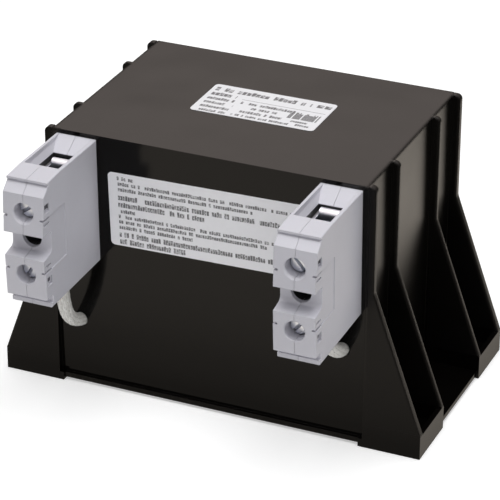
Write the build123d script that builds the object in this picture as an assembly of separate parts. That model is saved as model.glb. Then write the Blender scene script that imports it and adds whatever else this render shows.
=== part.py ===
from build123d import *
import math
import os

# Potted choke. A laminated core with one winding is cast in resin inside a ribbed plastic
# housing, and each end of the winding comes out of the front wall into a terminal block
# with two screw clamps.
# Origin: centre of the four foot bolts on the base plane. X across, front at -Y, Z up, mm.

# Housing body
BODY_WIDTH = 152.4         # over the two side walls
BODY_DEPTH = 110.6         # front to back at the top
BODY_HEIGHT = 130.0
WALL_LEAN = 3.1            # how far the front and back walls stand in at the floor
WALL = 4.0
TOP_WALL = 4.5
SIDE_EDGE_RADIUS = 1.0
CAVITY_RADIUS = 3.0

# Ribs and feet
RIB_REACH = 3.8            # how far a rib stands off the side wall above the kink
RIB_THICKNESS = 2.5
END_RIB_THICKNESS = 3.6    # reaches behind the leaning wall down to the floor
RIB_KINK_HEIGHT = 78.4
RIB_KINK_RADIUS = 4.0
RIB_CORNER_RADIUS = 2.5
RIB_EDGE_RADIUS = 0.4
FOOT_BAY = 29.5            # from the end of the housing to the middle of an inner rib
FOOT_WIDTH = 208.0         # over the outer lips of the feet
FOOT_FLOOR = 4.0
LIP_HEIGHT = 11.4
LIP_THICKNESS = 2.5
BOLT_INSET_X = 15.0        # from the outer lip to the bolt
BOLT_INSET_Y = 15.8        # from the end of the housing to the bolt
BOLT_HOLE = 7.0
BOLT_BOSS = 15.0
BOLT_BOSS_HEIGHT = 2.0

# Base flange between the feet
FLANGE_INSET = 1.1
FLANGE_BOTTOM = 1.5
FLANGE_TOP = 3.7
RESIN_LEVEL = 1.0

# Laminated core, as large as the housing leaves room for
CORE_SIDE_GAP = 5.5        # from the core to each side wall
CORE_TOP_GAP = 7.6         # from the core to the top wall
CORE_BOTTOM = 8.0
AIR_GAP = 1.5
CORE_BOLT = 6.0
CORE_BOLT_INSET = 7.5      # from each corner of the core
CORE_BOLT_HEAD = 10.0      # across flats
CORE_BOLT_HEAD_HEIGHT = 4.0
CORE_BOLT_TAIL = 2.0

# Winding on its former
FORMER_WALL = 2.0
FORMER_CLEARANCE = 0.3
FLANGE_WALL = 2.0
FORMER_MARGIN = 1.0        # from the former's flange to the outer legs
FORMER_WALL_GAP = 0.9      # from the former's flange to the front and back walls
WINDING_GAP = 1.8          # from the wrap to the outer legs
WRAP_THICKNESS = 0.6

# Leads
LEAD_DIAMETER = 6.6
WIRE_DIAMETER = 4.4
LEAD_HOLE_CLEARANCE = 0.2
LEAD_ARC_SHARE = 0.45      # part of the shorter run that each arc takes
# Route of the left lead and of the right lead. It starts on the winding, this far from its
# front corner and above its lowest turn, and has one corner behind the front wall and one
# before it, each given as shift from the block's middle, distance from the wall and depth
# below the block. Then it turns upwards below the block.
LEFT_START_IN = 9.3
LEFT_START_UP = 6.3
LEFT_BEHIND_SHIFT = -2.2
LEFT_BEHIND_WALL = 15.8
LEFT_BEHIND_DROP = 38.5
LEFT_BEFORE_SHIFT = -1.2
LEFT_BEFORE_WALL = 9.5
LEFT_BEFORE_DROP = 30.8
LEFT_TURN_DROP = 13.5
RIGHT_START_IN = 11.3
RIGHT_START_UP = 14.3
RIGHT_BEHIND_SHIFT = -3.0
RIGHT_BEHIND_WALL = 16.1
RIGHT_BEHIND_DROP = 24.5
RIGHT_BEFORE_SHIFT = 3.0
RIGHT_BEFORE_WALL = 7.8
RIGHT_BEFORE_DROP = 18.0
RIGHT_TURN_DROP = 6.0

# Terminal block, in its own frame: rear face at y = 0, bottom at z = 0
BLOCK_INSET = 2.2          # from the corner of the housing
BLOCK_TOP_GAP = 1.2        # below the top of the housing
BLOCK_WIDTH = 20.0
BLOCK_HEIGHT = 61.8
BLOCK_DEPTH = 53.2
TOP_FALL = 0.9             # of the top towards the rear
SLAB_BEND = 34.4           # where the top starts to fall towards the front
SLAB_FRONT = 47.9
SLAB_DROP = 0.35
SLAB_LIP = 1.1
LIP_UNDERCUT = 1.0
FACE_TOP = 55.8
FACE_TOP_SETBACK = 1.5
NOTCH_TOP = 36.9
NOTCH_BOTTOM = 25.3
NOTCH_DEPTH = 7.9
NOTCH_FALL = 1.4
NOTCH_RADIUS = 2.5
FACE_BOTTOM = 5.5
FOOT_STRIP_SETBACK = 5.1
FOOT_STRIP_TOP = 2.2
FOOT_STRIP_GROOVE = 1.5
BLOCK_EDGE_RADIUS = 0.5
SHELL_GAP = 0.12           # between the two half shells

# Funnels and clamp chambers of the terminal block
RIM_WALL = 1.6
RIM_DROP = 2.6
FUNNEL_DEPTH = 5.8
FUNNEL_REAR = 0.8
FUNNEL_FRONT = 33.8
MOUTH_WIDTH = 13.6
MOUTH_REAR = 9.6
MOUTH_FRONT = 27.0
CHAMBER_WIDTH = 12.8
CHAMBER_REAR = 8.0
CHAMBER_FRONT = 37.0
CHAMBER_HEIGHT = 14.6
UPPER_CHAMBER = 39.8       # bottom of the upper chamber
LOWER_CHAMBER = 9.6        # bottom of the lower chamber

# Latches of the two half shells
LATCH_WINDOW_HEIGHT = 4.3
LATCH_WINDOW_LENGTH = 4.5
LATCH_WINDOW_DEPTH = 1.1
LATCH_REAR = 46.8
LATCH_MIDDLE = 32.0        # the latches mirror about this height
LATCH_WINDOW_OFFSET = 15.7
SLIT_HEIGHT = 0.9
SLIT_OFFSETS = (12.9, 10.2)
SLIT_REACH = 1.9
SIDE_PANEL_REAR = 32.3
SIDE_PANEL_DEPTH = 0.35
PIN_HOLE = 1.2
PIN_HOLE_INSET = 1.7

# Clamps
CAGE_WIDTH = 12.2
CAGE_DEPTH = 17.0
CAGE_HEIGHT = 13.0
CAGE_WALL = 1.5
CAGE_LIP_RADIUS = 2.4
# How far the empty upper clamp is screwed open, left block (-1) and right block (1)
CAGE_OPENED = {-1: 4.7, 1: 6.2}
CLAMP_SCREW = 6.0
SCREW_HEAD = 8.4
SCREW_HEAD_LENGTH = 6.0
SCREW_HEAD_CHAMFER = 0.4
SCREW_SINK = 5.8           # from the face of the block to the screw head
SLOT_WIDTH = 1.5
SLOT_DEPTH = 2.0
SCREW_HOLE = 9.4
SCREW_HOLE_CHAMFER = 0.5
# How far each screw's slot is turned from level, left block (-1) and right block (1)
UPPER_SLOT_TURN = {-1: -35, 1: 50}
LOWER_SLOT_TURN = {-1: -60, 1: -50}

# Current bar and mounting screw
BAR_FRONT = 24.5
BAR_THICKNESS = 2.0
BAR_WIDTH = 8.6
BAR_EYE_WIDTH = 17.0
BAR_EYE_HOLE = 12.2
BAR_END = 0.6              # past the far end of each cage
BAR_CLEARANCE = 0.2
MOUNT_HOLE = 9.4
MOUNT_SLEEVE = 11.8
MOUNT_HEIGHT = 32.0
MOUNT_SEAT = 9.0           # from the rear face to the seat of the screw head
MOUNT_SCREW = 4.0
MOUNT_HEAD = 8.0
MOUNT_HEAD_HEIGHT = 3.4
MOUNT_SCREW_GRIP = 10.0    # into the wall and the resin behind it

# Labels
LABEL_THICKNESS = 0.2
TOP_LABEL = (61.0, 31.3)
TOP_LABEL_CENTRE = (2.2, 3.4)
FRONT_LABEL = (97.0, 36.6)
FRONT_LABEL_DROP = 34.1    # from the top of the housing to the middle of the label
FRONT_LABEL_TURN = 1.1
LABEL_RADIUS = 2.0


LEAN = math.degrees(math.atan2(WALL_LEAN, BODY_HEIGHT))
INNER_RIB_Y = BODY_DEPTH / 2 - FOOT_BAY
BOLT_X = FOOT_WIDTH / 2 - BOLT_INSET_X
BOLT_Y = BODY_DEPTH / 2 - BOLT_INSET_Y
BLOCK_X = BODY_WIDTH / 2 - BLOCK_INSET - BLOCK_WIDTH / 2
BLOCK_BOTTOM = BODY_HEIGHT - BLOCK_TOP_GAP - BLOCK_HEIGHT

# The sheets have the usual proportions: yoke, outer leg and window are each a sixth of the
# width, and the centre leg is a third.
CORE_WIDTH = BODY_WIDTH - 2 * (WALL + CORE_SIDE_GAP)
YOKE = CORE_WIDTH / 6
CENTRE_LEG_X = YOKE
WINDOW_X = 2 * YOKE
WINDOW_BOTTOM = CORE_BOTTOM + YOKE
WINDOW_TOP = BODY_HEIGHT - TOP_WALL - CORE_TOP_GAP - YOKE - AIR_GAP
FORMER_X = CENTRE_LEG_X + FORMER_CLEARANCE + FORMER_WALL
WINDING_BUILD = WINDOW_X - WINDING_GAP - WRAP_THICKNESS - FORMER_X
FORMER_FLANGE_Y = BODY_DEPTH / 2 - WALL_LEAN - WALL - FORMER_WALL_GAP
FORMER_Y = FORMER_FLANGE_Y - FORMER_MARGIN - WINDING_BUILD
CORE_STACK = 2 * (FORMER_Y - FORMER_WALL - FORMER_CLEARANCE)
WIRE_DEPTH = BAR_FRONT - BAR_THICKNESS - WIRE_DIAMETER / 2
CAGE_REAR = WIRE_DEPTH - WIRE_DIAMETER / 2 - CAGE_WALL
UPPER_CAGE = UPPER_CHAMBER + (CHAMBER_HEIGHT - CAGE_HEIGHT) / 2
LOWER_CAGE = LOWER_CHAMBER + (CHAMBER_HEIGHT - CAGE_HEIGHT) / 2


def block(x0, x1, y0, y1, z0, z1):
    """Box between two corners."""
    middle = Pos((x0 + x1) / 2, (y0 + y1) / 2, (z0 + z1) / 2)
    return middle * Box(x1 - x0, y1 - y0, z1 - z0)


def rod(start, end, radius):
    """Round bar between two points."""
    line = Line(start, end)
    return sweep(Plane(origin=start, z_dir=line % 0) * Circle(radius), path=line)


def wall_y(height):
    """Where the front wall's outer face lies at a height."""
    return -(BODY_DEPTH / 2 - WALL_LEAN * (1 - height / BODY_HEIGHT))


def leaning_prism(inset, width, bottom, top):
    """Upright prism whose front and back lean like the outer walls, set in by a wall."""
    front_bottom = wall_y(bottom) + inset
    front_top = wall_y(top) + inset
    outline = Polygon(
        (front_bottom, bottom), (front_top, top), (-front_top, top), (-front_bottom, bottom), align=None
    )
    return extrude(Plane.YZ * outline, width / 2, both=True)


def cavity(bottom):
    """Space inside the housing from a height up to the top wall."""
    form = leaning_prism(WALL, BODY_WIDTH - 2 * WALL, bottom, BODY_HEIGHT - TOP_WALL)
    corners = form.edges().group_by(Axis.X)[0] + form.edges().group_by(Axis.X)[-1]
    upright = [edge for edge in corners if abs(edge.tangent_at(0).Z) > 0.9]
    return fillet(upright, CAVITY_RADIUS)


def rib(middle_y, thickness, root):
    """Gusset plate on the right side: upright strip, then a brace out to the foot."""
    edge = BODY_WIDTH / 2 + RIB_REACH
    foot_x = FOOT_WIDTH / 2
    points = [
        (root, 0),
        (foot_x, 0),
        (foot_x, LIP_HEIGHT),
        (edge, RIB_KINK_HEIGHT),
        (edge, BODY_HEIGHT),
        (root, BODY_HEIGHT),
    ]
    outline = Polygon(*points, align=None)
    kink = outline.vertices().sort_by_distance((edge, RIB_KINK_HEIGHT))[0]
    outline = fillet(kink, RIB_KINK_RADIUS)
    corner = outline.vertices().sort_by_distance((edge, BODY_HEIGHT))[0]
    outline = fillet(corner, RIB_CORNER_RADIUS)
    plate = extrude(Plane.XZ * outline, thickness / 2, both=True)
    rims = plate.edges().group_by(Axis.Y)[0] + plate.edges().group_by(Axis.Y)[-1]
    outer = [rim for rim in rims if rim.center().X > edge - RIB_REACH / 2 and rim.center().Z > LIP_HEIGHT]
    return Pos(0, middle_y, 0) * fillet(outer, RIB_EDGE_RADIUS)


def foot(side):
    """Pad with its outer lip between two ribs, front (-1) or back (1), on the right side."""
    outer = side * BODY_DEPTH / 2
    inner = side * (INNER_RIB_Y - RIB_THICKNESS / 2)
    y0, y1 = min(outer, inner), max(outer, inner)
    root = BODY_WIDTH / 2 - WALL / 2
    pad = block(root, FOOT_WIDTH / 2, y0, y1, 0, FOOT_FLOOR)
    lip = block(FOOT_WIDTH / 2 - LIP_THICKNESS, FOOT_WIDTH / 2, y0, y1, 0, LIP_HEIGHT)
    y = side * BOLT_Y
    boss = rod((BOLT_X, y, 0), (BOLT_X, y, FOOT_FLOOR + BOLT_BOSS_HEIGHT), BOLT_BOSS / 2)
    return pad + lip + boss


def side_structure():
    """All ribs and feet of the right side."""
    wall = BODY_WIDTH / 2
    end_rib_y = (BODY_DEPTH - END_RIB_THICKNESS) / 2
    ribs = [rib(y, END_RIB_THICKNESS, wall) for y in (-end_rib_y, end_rib_y)]
    ribs += [rib(y, RIB_THICKNESS, wall - WALL / 2) for y in (-INNER_RIB_Y, INNER_RIB_Y)]
    return ribs + [foot(-1), foot(1)]


def bolt_holes():
    """Drills for the four foot bolts."""
    depth = 2 * (FOOT_FLOOR + BOLT_BOSS_HEIGHT)
    places = [(x * BOLT_X, y * BOLT_Y) for x in (-1, 1) for y in (-1, 1)]
    return [rod((x, y, -depth), (x, y, depth), BOLT_HOLE / 2) for x, y in places]


def housing():
    """Ribbed plastic case, open below."""
    body = leaning_prism(0, BODY_WIDTH, 0, BODY_HEIGHT)
    long_edges = body.edges().filter_by(Axis.Y).group_by(Axis.Z)[-1]
    body = fillet(long_edges, SIDE_EDGE_RADIUS)
    right = side_structure()
    left = [mirror(piece, Plane.YZ) for piece in right]
    flange_x = FOOT_WIDTH / 2 - FLANGE_INSET
    flange_y = BODY_DEPTH / 2 - FLANGE_INSET
    flange = block(-flange_x, flange_x, -flange_y, flange_y, FLANGE_BOTTOM, FLANGE_TOP)
    case = body + flange + right + left
    case -= cavity(-1)
    for drill in bolt_holes():
        case -= drill
    for side in (-1, 1):
        points = lead_points(side)
        case -= rod(points[1], points[2], LEAD_DIAMETER / 2 + LEAD_HOLE_CLEARANCE)
        case -= mounting_thread(side)
    return case


def e_core():
    """Stack of E sheets, legs upwards."""
    top = WINDOW_TOP
    core = block(-CORE_WIDTH / 2, CORE_WIDTH / 2, -CORE_STACK / 2, CORE_STACK / 2, CORE_BOTTOM, top)
    for side in (-1, 1):
        x0, x1 = sorted((side * CENTRE_LEG_X, side * WINDOW_X))
        core -= block(x0, x1, -CORE_STACK, CORE_STACK, WINDOW_BOTTOM, top + 1)
    return core - core_bolt_drills()


def i_core():
    """Stack of I sheets that closes the core above the air gap."""
    bottom = WINDOW_TOP + AIR_GAP
    half = CORE_WIDTH / 2
    return block(-half, half, -CORE_STACK / 2, CORE_STACK / 2, bottom, bottom + YOKE) - core_bolt_drills()


def air_gap_spacers():
    """One sheet of insulation on each leg of the core."""
    bottom, top = WINDOW_TOP, WINDOW_TOP + AIR_GAP
    half = CORE_STACK / 2
    spans = [(-CORE_WIDTH / 2, -WINDOW_X), (-CENTRE_LEG_X, CENTRE_LEG_X), (WINDOW_X, CORE_WIDTH / 2)]
    return [block(x0, x1, -half, half, bottom, top) for x0, x1 in spans]


def core_bolt_places():
    """Centres of the bolts in the four corners of the core."""
    x = CORE_WIDTH / 2 - CORE_BOLT_INSET
    low = CORE_BOTTOM + CORE_BOLT_INSET
    high = WINDOW_TOP + AIR_GAP + YOKE - CORE_BOLT_INSET
    return [(side * x, z) for side in (-1, 1) for z in (low, high)]


def core_bolt_drills():
    """Bolt holes through the stack."""
    y = CORE_STACK
    return [rod((x, -y, z), (x, y, z), CORE_BOLT / 2) for x, z in core_bolt_places()]


def hexagon(across_flats, x, y, z, height):
    """Hexagonal prism that points along -Y from a point."""
    outline = RegularPolygon(across_flats / 2, 6, major_radius=False)
    return extrude(Plane(origin=(x, y, z), z_dir=(0, -1, 0)) * outline, height)


def core_bolts():
    """Bolts that clamp the sheets, heads to the front."""
    half = CORE_STACK / 2
    tail = half + CORE_BOLT_HEAD_HEIGHT + CORE_BOLT_TAIL
    bolts = []
    for x, z in core_bolt_places():
        head = hexagon(CORE_BOLT_HEAD, x, -half, z, CORE_BOLT_HEAD_HEIGHT)
        bolts.append(head + rod((x, -half, z), (x, tail, z), CORE_BOLT / 2))
    return bolts


def core_nuts():
    """Nuts of the core bolts at the back."""
    half = CORE_STACK / 2
    nuts = []
    for x, z in core_bolt_places():
        nut = hexagon(CORE_BOLT_HEAD, x, half + CORE_BOLT_HEAD_HEIGHT, z, CORE_BOLT_HEAD_HEIGHT)
        nuts.append(nut - rod((x, 0, z), (x, 2 * half, z), CORE_BOLT / 2))
    return nuts


def coil_former():
    """Flanged tube that slides over the centre leg."""
    gap = FORMER_CLEARANCE
    bottom, top = WINDOW_BOTTOM, WINDOW_TOP
    flange_x = WINDOW_X - FORMER_MARGIN
    flange_y = FORMER_FLANGE_Y
    tube = block(-FORMER_X, FORMER_X, -FORMER_Y, FORMER_Y, bottom, top)
    low = block(-flange_x, flange_x, -flange_y, flange_y, bottom, bottom + FLANGE_WALL)
    high = block(-flange_x, flange_x, -flange_y, flange_y, top - FLANGE_WALL, top)
    bore_x, bore_y = CENTRE_LEG_X + gap, CORE_STACK / 2 + gap
    return tube + low + high - block(-bore_x, bore_x, -bore_y, bore_y, bottom - 1, top + 1)


def wound_ring(inner, outer):
    """Ring of turns around the former: straight along the former, round at its corners."""
    bottom, top = WINDOW_BOTTOM + FLANGE_WALL, WINDOW_TOP - FLANGE_WALL
    outline = RectangleRounded(2 * (FORMER_X + outer), 2 * (FORMER_Y + outer), outer)
    if inner > 0:
        hole = RectangleRounded(2 * (FORMER_X + inner), 2 * (FORMER_Y + inner), inner)
    else:
        hole = Rectangle(2 * FORMER_X, 2 * FORMER_Y)
    return Pos(0, 0, bottom) * extrude(outline - hole, top - bottom)


def winding():
    """All turns of enamelled wire as one ring."""
    return wound_ring(0, WINDING_BUILD)


def winding_wrap():
    """Insulation tape around the winding."""
    ring = wound_ring(WINDING_BUILD, WINDING_BUILD + WRAP_THICKNESS)
    for side in (-1, 1):
        start, towards = lead_points(side)[:2]
        ring -= rod(start, towards, LEAD_DIAMETER / 2)
    return ring


def block_place(side):
    """Frame of a terminal block: on the leaning front wall, left (-1) or right (1)."""
    return Location((side * BLOCK_X, wall_y(BLOCK_BOTTOM), BLOCK_BOTTOM), (LEAN, 0, 0))


def in_block(side, x, y, z):
    """Point of a terminal block in the frame of the whole part."""
    point = (block_place(side) * Pos(x, y, z)).position
    return (point.X, point.Y, point.Z)


def lead_points(side):
    """Route of a lead from the winding, through the front wall and up into its clamp."""
    if side < 0:
        start_in, start_up, turn_drop = LEFT_START_IN, LEFT_START_UP, LEFT_TURN_DROP
        behind = (LEFT_BEHIND_SHIFT, LEFT_BEHIND_WALL, LEFT_BEHIND_DROP)
        before = (LEFT_BEFORE_SHIFT, -LEFT_BEFORE_WALL, LEFT_BEFORE_DROP)
    else:
        start_in, start_up, turn_drop = RIGHT_START_IN, RIGHT_START_UP, RIGHT_TURN_DROP
        behind = (RIGHT_BEHIND_SHIFT, RIGHT_BEHIND_WALL, RIGHT_BEHIND_DROP)
        before = (RIGHT_BEFORE_SHIFT, -RIGHT_BEFORE_WALL, RIGHT_BEFORE_DROP)
    front = -(FORMER_Y + WINDING_BUILD)
    lowest = WINDOW_BOTTOM + FLANGE_WALL
    start = (side * (FORMER_X + WINDING_BUILD), front + start_in, lowest + start_up)
    corners = []
    for shift, distance, drop in (behind, before):
        z = BLOCK_BOTTOM - drop
        corners.append((side * BLOCK_X + shift, wall_y(z) + distance, z))
    turn = in_block(side, 0, -WIRE_DEPTH, -turn_drop)
    clamp = in_block(side, 0, -WIRE_DEPTH, LOWER_CAGE + CAGE_HEIGHT)
    return [start, *corners, turn, clamp]


def lead_path(side, end_height):
    """Straight runs joined by tangent arcs, up to a height inside the terminal block."""
    points = [Vector(*point) for point in lead_points(side)]
    runs = [after - before for before, after in zip(points, points[1:])]
    radii = []
    for before, after in zip(runs, runs[1:]):
        half_turn = math.radians(before.get_angle(after)) / 2
        radii.append(LEAD_ARC_SHARE * min(before.length, after.length) / math.tan(half_turn))
    points[-1] = Vector(*in_block(side, 0, -WIRE_DEPTH, end_height))
    return FilletPolyline(*points, radius=radii), radii


def swept(path, radius):
    """Round section carried along a path."""
    return sweep(Plane(origin=path @ 0, z_dir=path % 0) * Circle(radius), path=path)


def lead_wire(side):
    """Stranded copper of a lead, bare in the clamp."""
    path, radii = lead_path(side, LOWER_CAGE + CAGE_HEIGHT)
    wire = swept(path, WIRE_DIAMETER / 2)
    expected = math.pi * WIRE_DIAMETER ** 2 / 4 * path.length
    print("lead", side, "length", round(path.length, 1), "radii", [round(r, 1) for r in radii])
    print("  volume", round(wire.volume, 1), "section times length", round(expected, 1))
    return wire


def lead_sleeve(side):
    """Woven sleeve over a lead, ending just inside the terminal block."""
    path, _ = lead_path(side, LOWER_CHAMBER - 1)
    return swept(path, LEAD_DIAMETER / 2) - swept(path, WIRE_DIAMETER / 2)


def lead_form(side):
    """Whole lead with its sleeve, as the resin sees it."""
    path, _ = lead_path(side, LOWER_CHAMBER - 1)
    return swept(path, LEAD_DIAMETER / 2)


def potting_compound():
    """Cast resin that fills the housing around everything in it."""
    resin = cavity(RESIN_LEVEL)
    solids = [e_core(), i_core(), coil_former(), winding(), winding_wrap()]
    solids += air_gap_spacers() + core_bolts() + core_nuts()
    solids += [lead_form(-1), lead_form(1), mounting_thread(-1), mounting_thread(1)]
    resin -= solids
    return max(resin.solids(), key=lambda solid: solid.volume)


def block_outline():
    """Side view of a terminal block, rear at 0, front at negative y."""
    depth = BLOCK_DEPTH
    slab_top = BLOCK_HEIGHT - SLAB_DROP
    slab_bottom = slab_top - SLAB_LIP
    strip = depth - FOOT_STRIP_SETBACK
    points = [
        (0, 0),
        (0, BLOCK_HEIGHT - TOP_FALL),
        (-SLAB_BEND, BLOCK_HEIGHT),
        (-SLAB_FRONT, slab_top),
        (-SLAB_FRONT, slab_bottom),
        (-SLAB_FRONT + LIP_UNDERCUT, slab_bottom),
        (-SLAB_FRONT + LIP_UNDERCUT, slab_bottom - LIP_UNDERCUT / 2),
        (-depth + FACE_TOP_SETBACK, FACE_TOP),
        (-depth, NOTCH_TOP),
        (-depth + NOTCH_DEPTH, NOTCH_TOP),
        (-depth + NOTCH_DEPTH, NOTCH_BOTTOM + NOTCH_FALL),
        (-depth, NOTCH_BOTTOM),
        (-depth + FACE_TOP_SETBACK / 2, FACE_BOTTOM),
        (-strip + FOOT_STRIP_GROOVE, FACE_BOTTOM),
        (-strip + FOOT_STRIP_GROOVE, FOOT_STRIP_TOP),
        (-strip, FOOT_STRIP_TOP),
        (-strip, 0),
    ]
    outline = Polygon(*points, align=None)
    corner = outline.vertices().sort_by_distance((-depth + NOTCH_DEPTH, NOTCH_BOTTOM + NOTCH_FALL))[0]
    return fillet(corner, NOTCH_RADIUS)


def funnel():
    """Hopper for a conductor: upright rims at the sides and in front, slopes down to a mouth.
    The rear slope starts at the top edge, so the rims run out towards the rear."""
    half = BLOCK_WIDTH / 2 - RIM_WALL
    rear_z = BLOCK_HEIGHT - TOP_FALL
    step_z = BLOCK_HEIGHT - RIM_DROP
    mouth_z = BLOCK_HEIGHT - FUNNEL_DEPTH
    share = (rear_z - step_z) / (rear_z - mouth_z)
    step_rear = -FUNNEL_REAR - share * (MOUTH_REAR - FUNNEL_REAR)
    above = BLOCK_HEIGHT + 1
    outline = Polygon(
        (-FUNNEL_REAR, above), (-FUNNEL_REAR, rear_z), (step_rear, step_z),
        (-FUNNEL_FRONT, step_z), (-FUNNEL_FRONT, above), align=None,
    )
    rim_y, mouth_y = (step_rear - FUNNEL_FRONT) / 2, -(MOUTH_FRONT + MOUTH_REAR) / 2
    rim = Pos(0, rim_y, step_z) * Rectangle(2 * half, FUNNEL_FRONT + step_rear)
    mouth = Pos(0, mouth_y, mouth_z) * Rectangle(MOUTH_WIDTH, MOUTH_FRONT - MOUTH_REAR)
    return extrude(Plane.YZ * outline, half, both=True) + loft([rim, mouth])


def clamp_chamber(bottom):
    """Chamber of one clamp."""
    half = CHAMBER_WIDTH / 2
    return block(-half, half, -CHAMBER_FRONT, -CHAMBER_REAR, bottom, bottom + CHAMBER_HEIGHT)


def mouth_channel(bottom, top):
    """Straight passage between a funnel's mouth and its chamber."""
    half = MOUTH_WIDTH / 2
    return block(-half, half, -MOUTH_FRONT, -MOUTH_REAR, bottom, top)


def face_y(height):
    """Where the slanting face of a block lies at a height above or below the notch."""
    if height > NOTCH_TOP:
        return -BLOCK_DEPTH + FACE_TOP_SETBACK * (height - NOTCH_TOP) / (FACE_TOP - NOTCH_TOP)
    share = (NOTCH_BOTTOM - height) / (NOTCH_BOTTOM - FACE_BOTTOM)
    return -BLOCK_DEPTH + FACE_TOP_SETBACK / 2 * share


def screw_height(bottom):
    """Axis of the clamp screw of a chamber."""
    return bottom + CHAMBER_HEIGHT / 2


def screw_hole(bottom):
    """Hole for the screwdriver and the screw head, widened at the face."""
    z = screw_height(bottom)
    radius = SCREW_HOLE / 2
    hole = rod((0, -BLOCK_DEPTH - 1, z), (0, -CHAMBER_FRONT, z), radius)
    rim = 2 * SCREW_HOLE_CHAMFER
    mouth = Plane(origin=(0, face_y(z), z), z_dir=(0, 1, 0))
    return hole + mouth * Cone(radius + rim, radius, rim)


def bar_slot():
    """Slot that holds the current bar."""
    gap = BAR_CLEARANCE
    half = BAR_EYE_WIDTH / 2 + gap
    y0, y1 = -BAR_FRONT - gap, -BAR_FRONT + BAR_THICKNESS + gap
    return block(-half, half, y0, y1, LOWER_CHAMBER, UPPER_CHAMBER + CHAMBER_HEIGHT)


def mount_sleeve():
    """Round wall of the mounting hole where it crosses the current bar."""
    return rod((0, -CHAMBER_FRONT, MOUNT_HEIGHT), (0, -1, MOUNT_HEIGHT), MOUNT_SLEEVE / 2)


def mount_hole():
    """Stepped hole for the mounting screw, open to the notch."""
    z = MOUNT_HEIGHT
    wide = rod((0, -BLOCK_DEPTH, z), (0, -MOUNT_SEAT, z), MOUNT_HOLE / 2)
    return wide + rod((0, -MOUNT_SEAT, z), (0, 1, z), MOUNT_SCREW / 2)


def latch_cuts(side):
    """Snap windows and slits in one side of the block, mirrored about the notch."""
    outside = side * BLOCK_WIDTH / 2
    deep = outside - side * LATCH_WINDOW_DEPTH
    reach = outside - side * SLIT_REACH
    beyond = outside + side
    cuts = []
    for way in (-1, 1):
        half = LATCH_WINDOW_HEIGHT / 2
        z = LATCH_MIDDLE + way * (LATCH_WINDOW_OFFSET + half)
        x0, x1 = sorted((deep, beyond))
        rear = -LATCH_REAR
        cuts.append(block(x0, x1, rear - LATCH_WINDOW_LENGTH, rear, z - half, z + half))
        for number, offset in enumerate(SLIT_OFFSETS):
            x0, x1 = sorted((reach if number == 0 else deep, beyond))
            front = -BLOCK_DEPTH - 1 if number == 0 else -BLOCK_DEPTH + FACE_TOP_SETBACK
            z = LATCH_MIDDLE + way * offset
            cuts.append(block(x0, x1, front, rear, z - SLIT_HEIGHT / 2, z + SLIT_HEIGHT / 2))
    return cuts


def side_panels():
    """Shallow panels in both sides between the slits."""
    top = LATCH_MIDDLE + SLIT_OFFSETS[0]
    bottom = LATCH_MIDDLE - SLIT_OFFSETS[0]
    panels = []
    for side in (-1, 1):
        inner = side * (BLOCK_WIDTH / 2 - SIDE_PANEL_DEPTH)
        x0, x1 = sorted((inner, side * BLOCK_WIDTH))
        panels.append(block(x0, x1, -BLOCK_DEPTH - 1, -SIDE_PANEL_REAR, bottom, top))
    return panels


def pin_holes():
    """Two small holes in the face, at the ends of the left slits."""
    x = -BLOCK_WIDTH / 2 + PIN_HOLE_INSET
    holes = []
    for way in (-1, 1):
        z = LATCH_MIDDLE + way * SLIT_OFFSETS[0]
        holes.append(rod((x, -BLOCK_DEPTH - 1, z), (x, -BLOCK_DEPTH + PIN_HOLE, z), PIN_HOLE / 2))
    return holes


def block_body():
    """Terminal block with all its cuts, before it is parted into two half shells."""
    body = extrude(Plane.YZ * block_outline(), BLOCK_WIDTH / 2, both=True)
    rims = body.edges().group_by(Axis.X)[0] + body.edges().group_by(Axis.X)[-1]
    body = fillet(rims, BLOCK_EDGE_RADIUS)
    body -= funnel()
    body -= mouth_channel(UPPER_CHAMBER + CHAMBER_HEIGHT - 1, BLOCK_HEIGHT - FUNNEL_DEPTH + 1)
    body -= mouth_channel(-1, LOWER_CHAMBER + 1)
    for chamber in (UPPER_CHAMBER, LOWER_CHAMBER):
        body -= clamp_chamber(chamber)
        body -= screw_hole(chamber)
    body -= bar_slot() - mount_sleeve()
    body -= mount_hole()
    for side in (-1, 1):
        body -= latch_cuts(side)
    body -= side_panels()
    body -= pin_holes()
    return body


def half_shell(body, side):
    """Left (-1) or right (1) half of the terminal block."""
    x0, x1 = sorted((side * SHELL_GAP / 2, side * BLOCK_WIDTH))
    return body & block(x0, x1, -2 * BLOCK_DEPTH, BLOCK_DEPTH, -BLOCK_HEIGHT, 2 * BLOCK_HEIGHT)


def cage(bottom, rear):
    """Clamp cage: a bent strip around the bar and the conductor, threaded in front."""
    half = CAGE_WIDTH / 2
    front = rear + CAGE_DEPTH
    ring = block(-half, half, -front, -rear, bottom, bottom + CAGE_HEIGHT)
    inner = half - CAGE_WALL
    top = bottom + CAGE_HEIGHT
    ring -= block(-inner, inner, -front + CAGE_WALL, -rear - CAGE_WALL, bottom - 1, top + 1)
    z = bottom + CAGE_HEIGHT / 2
    return ring - rod((0, -front - 1, z), (0, -front + CAGE_WALL + 1, z), CLAMP_SCREW / 2)


def upper_cage(opened):
    """Cage of the empty clamp, screwed open, with its rolled lip at the mouth."""
    rear = CAGE_REAR - opened
    ring = cage(UPPER_CAGE, rear)
    half = CAGE_WIDTH / 2 - CAGE_WALL
    y, z = -rear - CAGE_LIP_RADIUS, UPPER_CAGE + CAGE_HEIGHT
    return ring + rod((-half, y, z), (half, y, z), CAGE_LIP_RADIUS)


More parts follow.
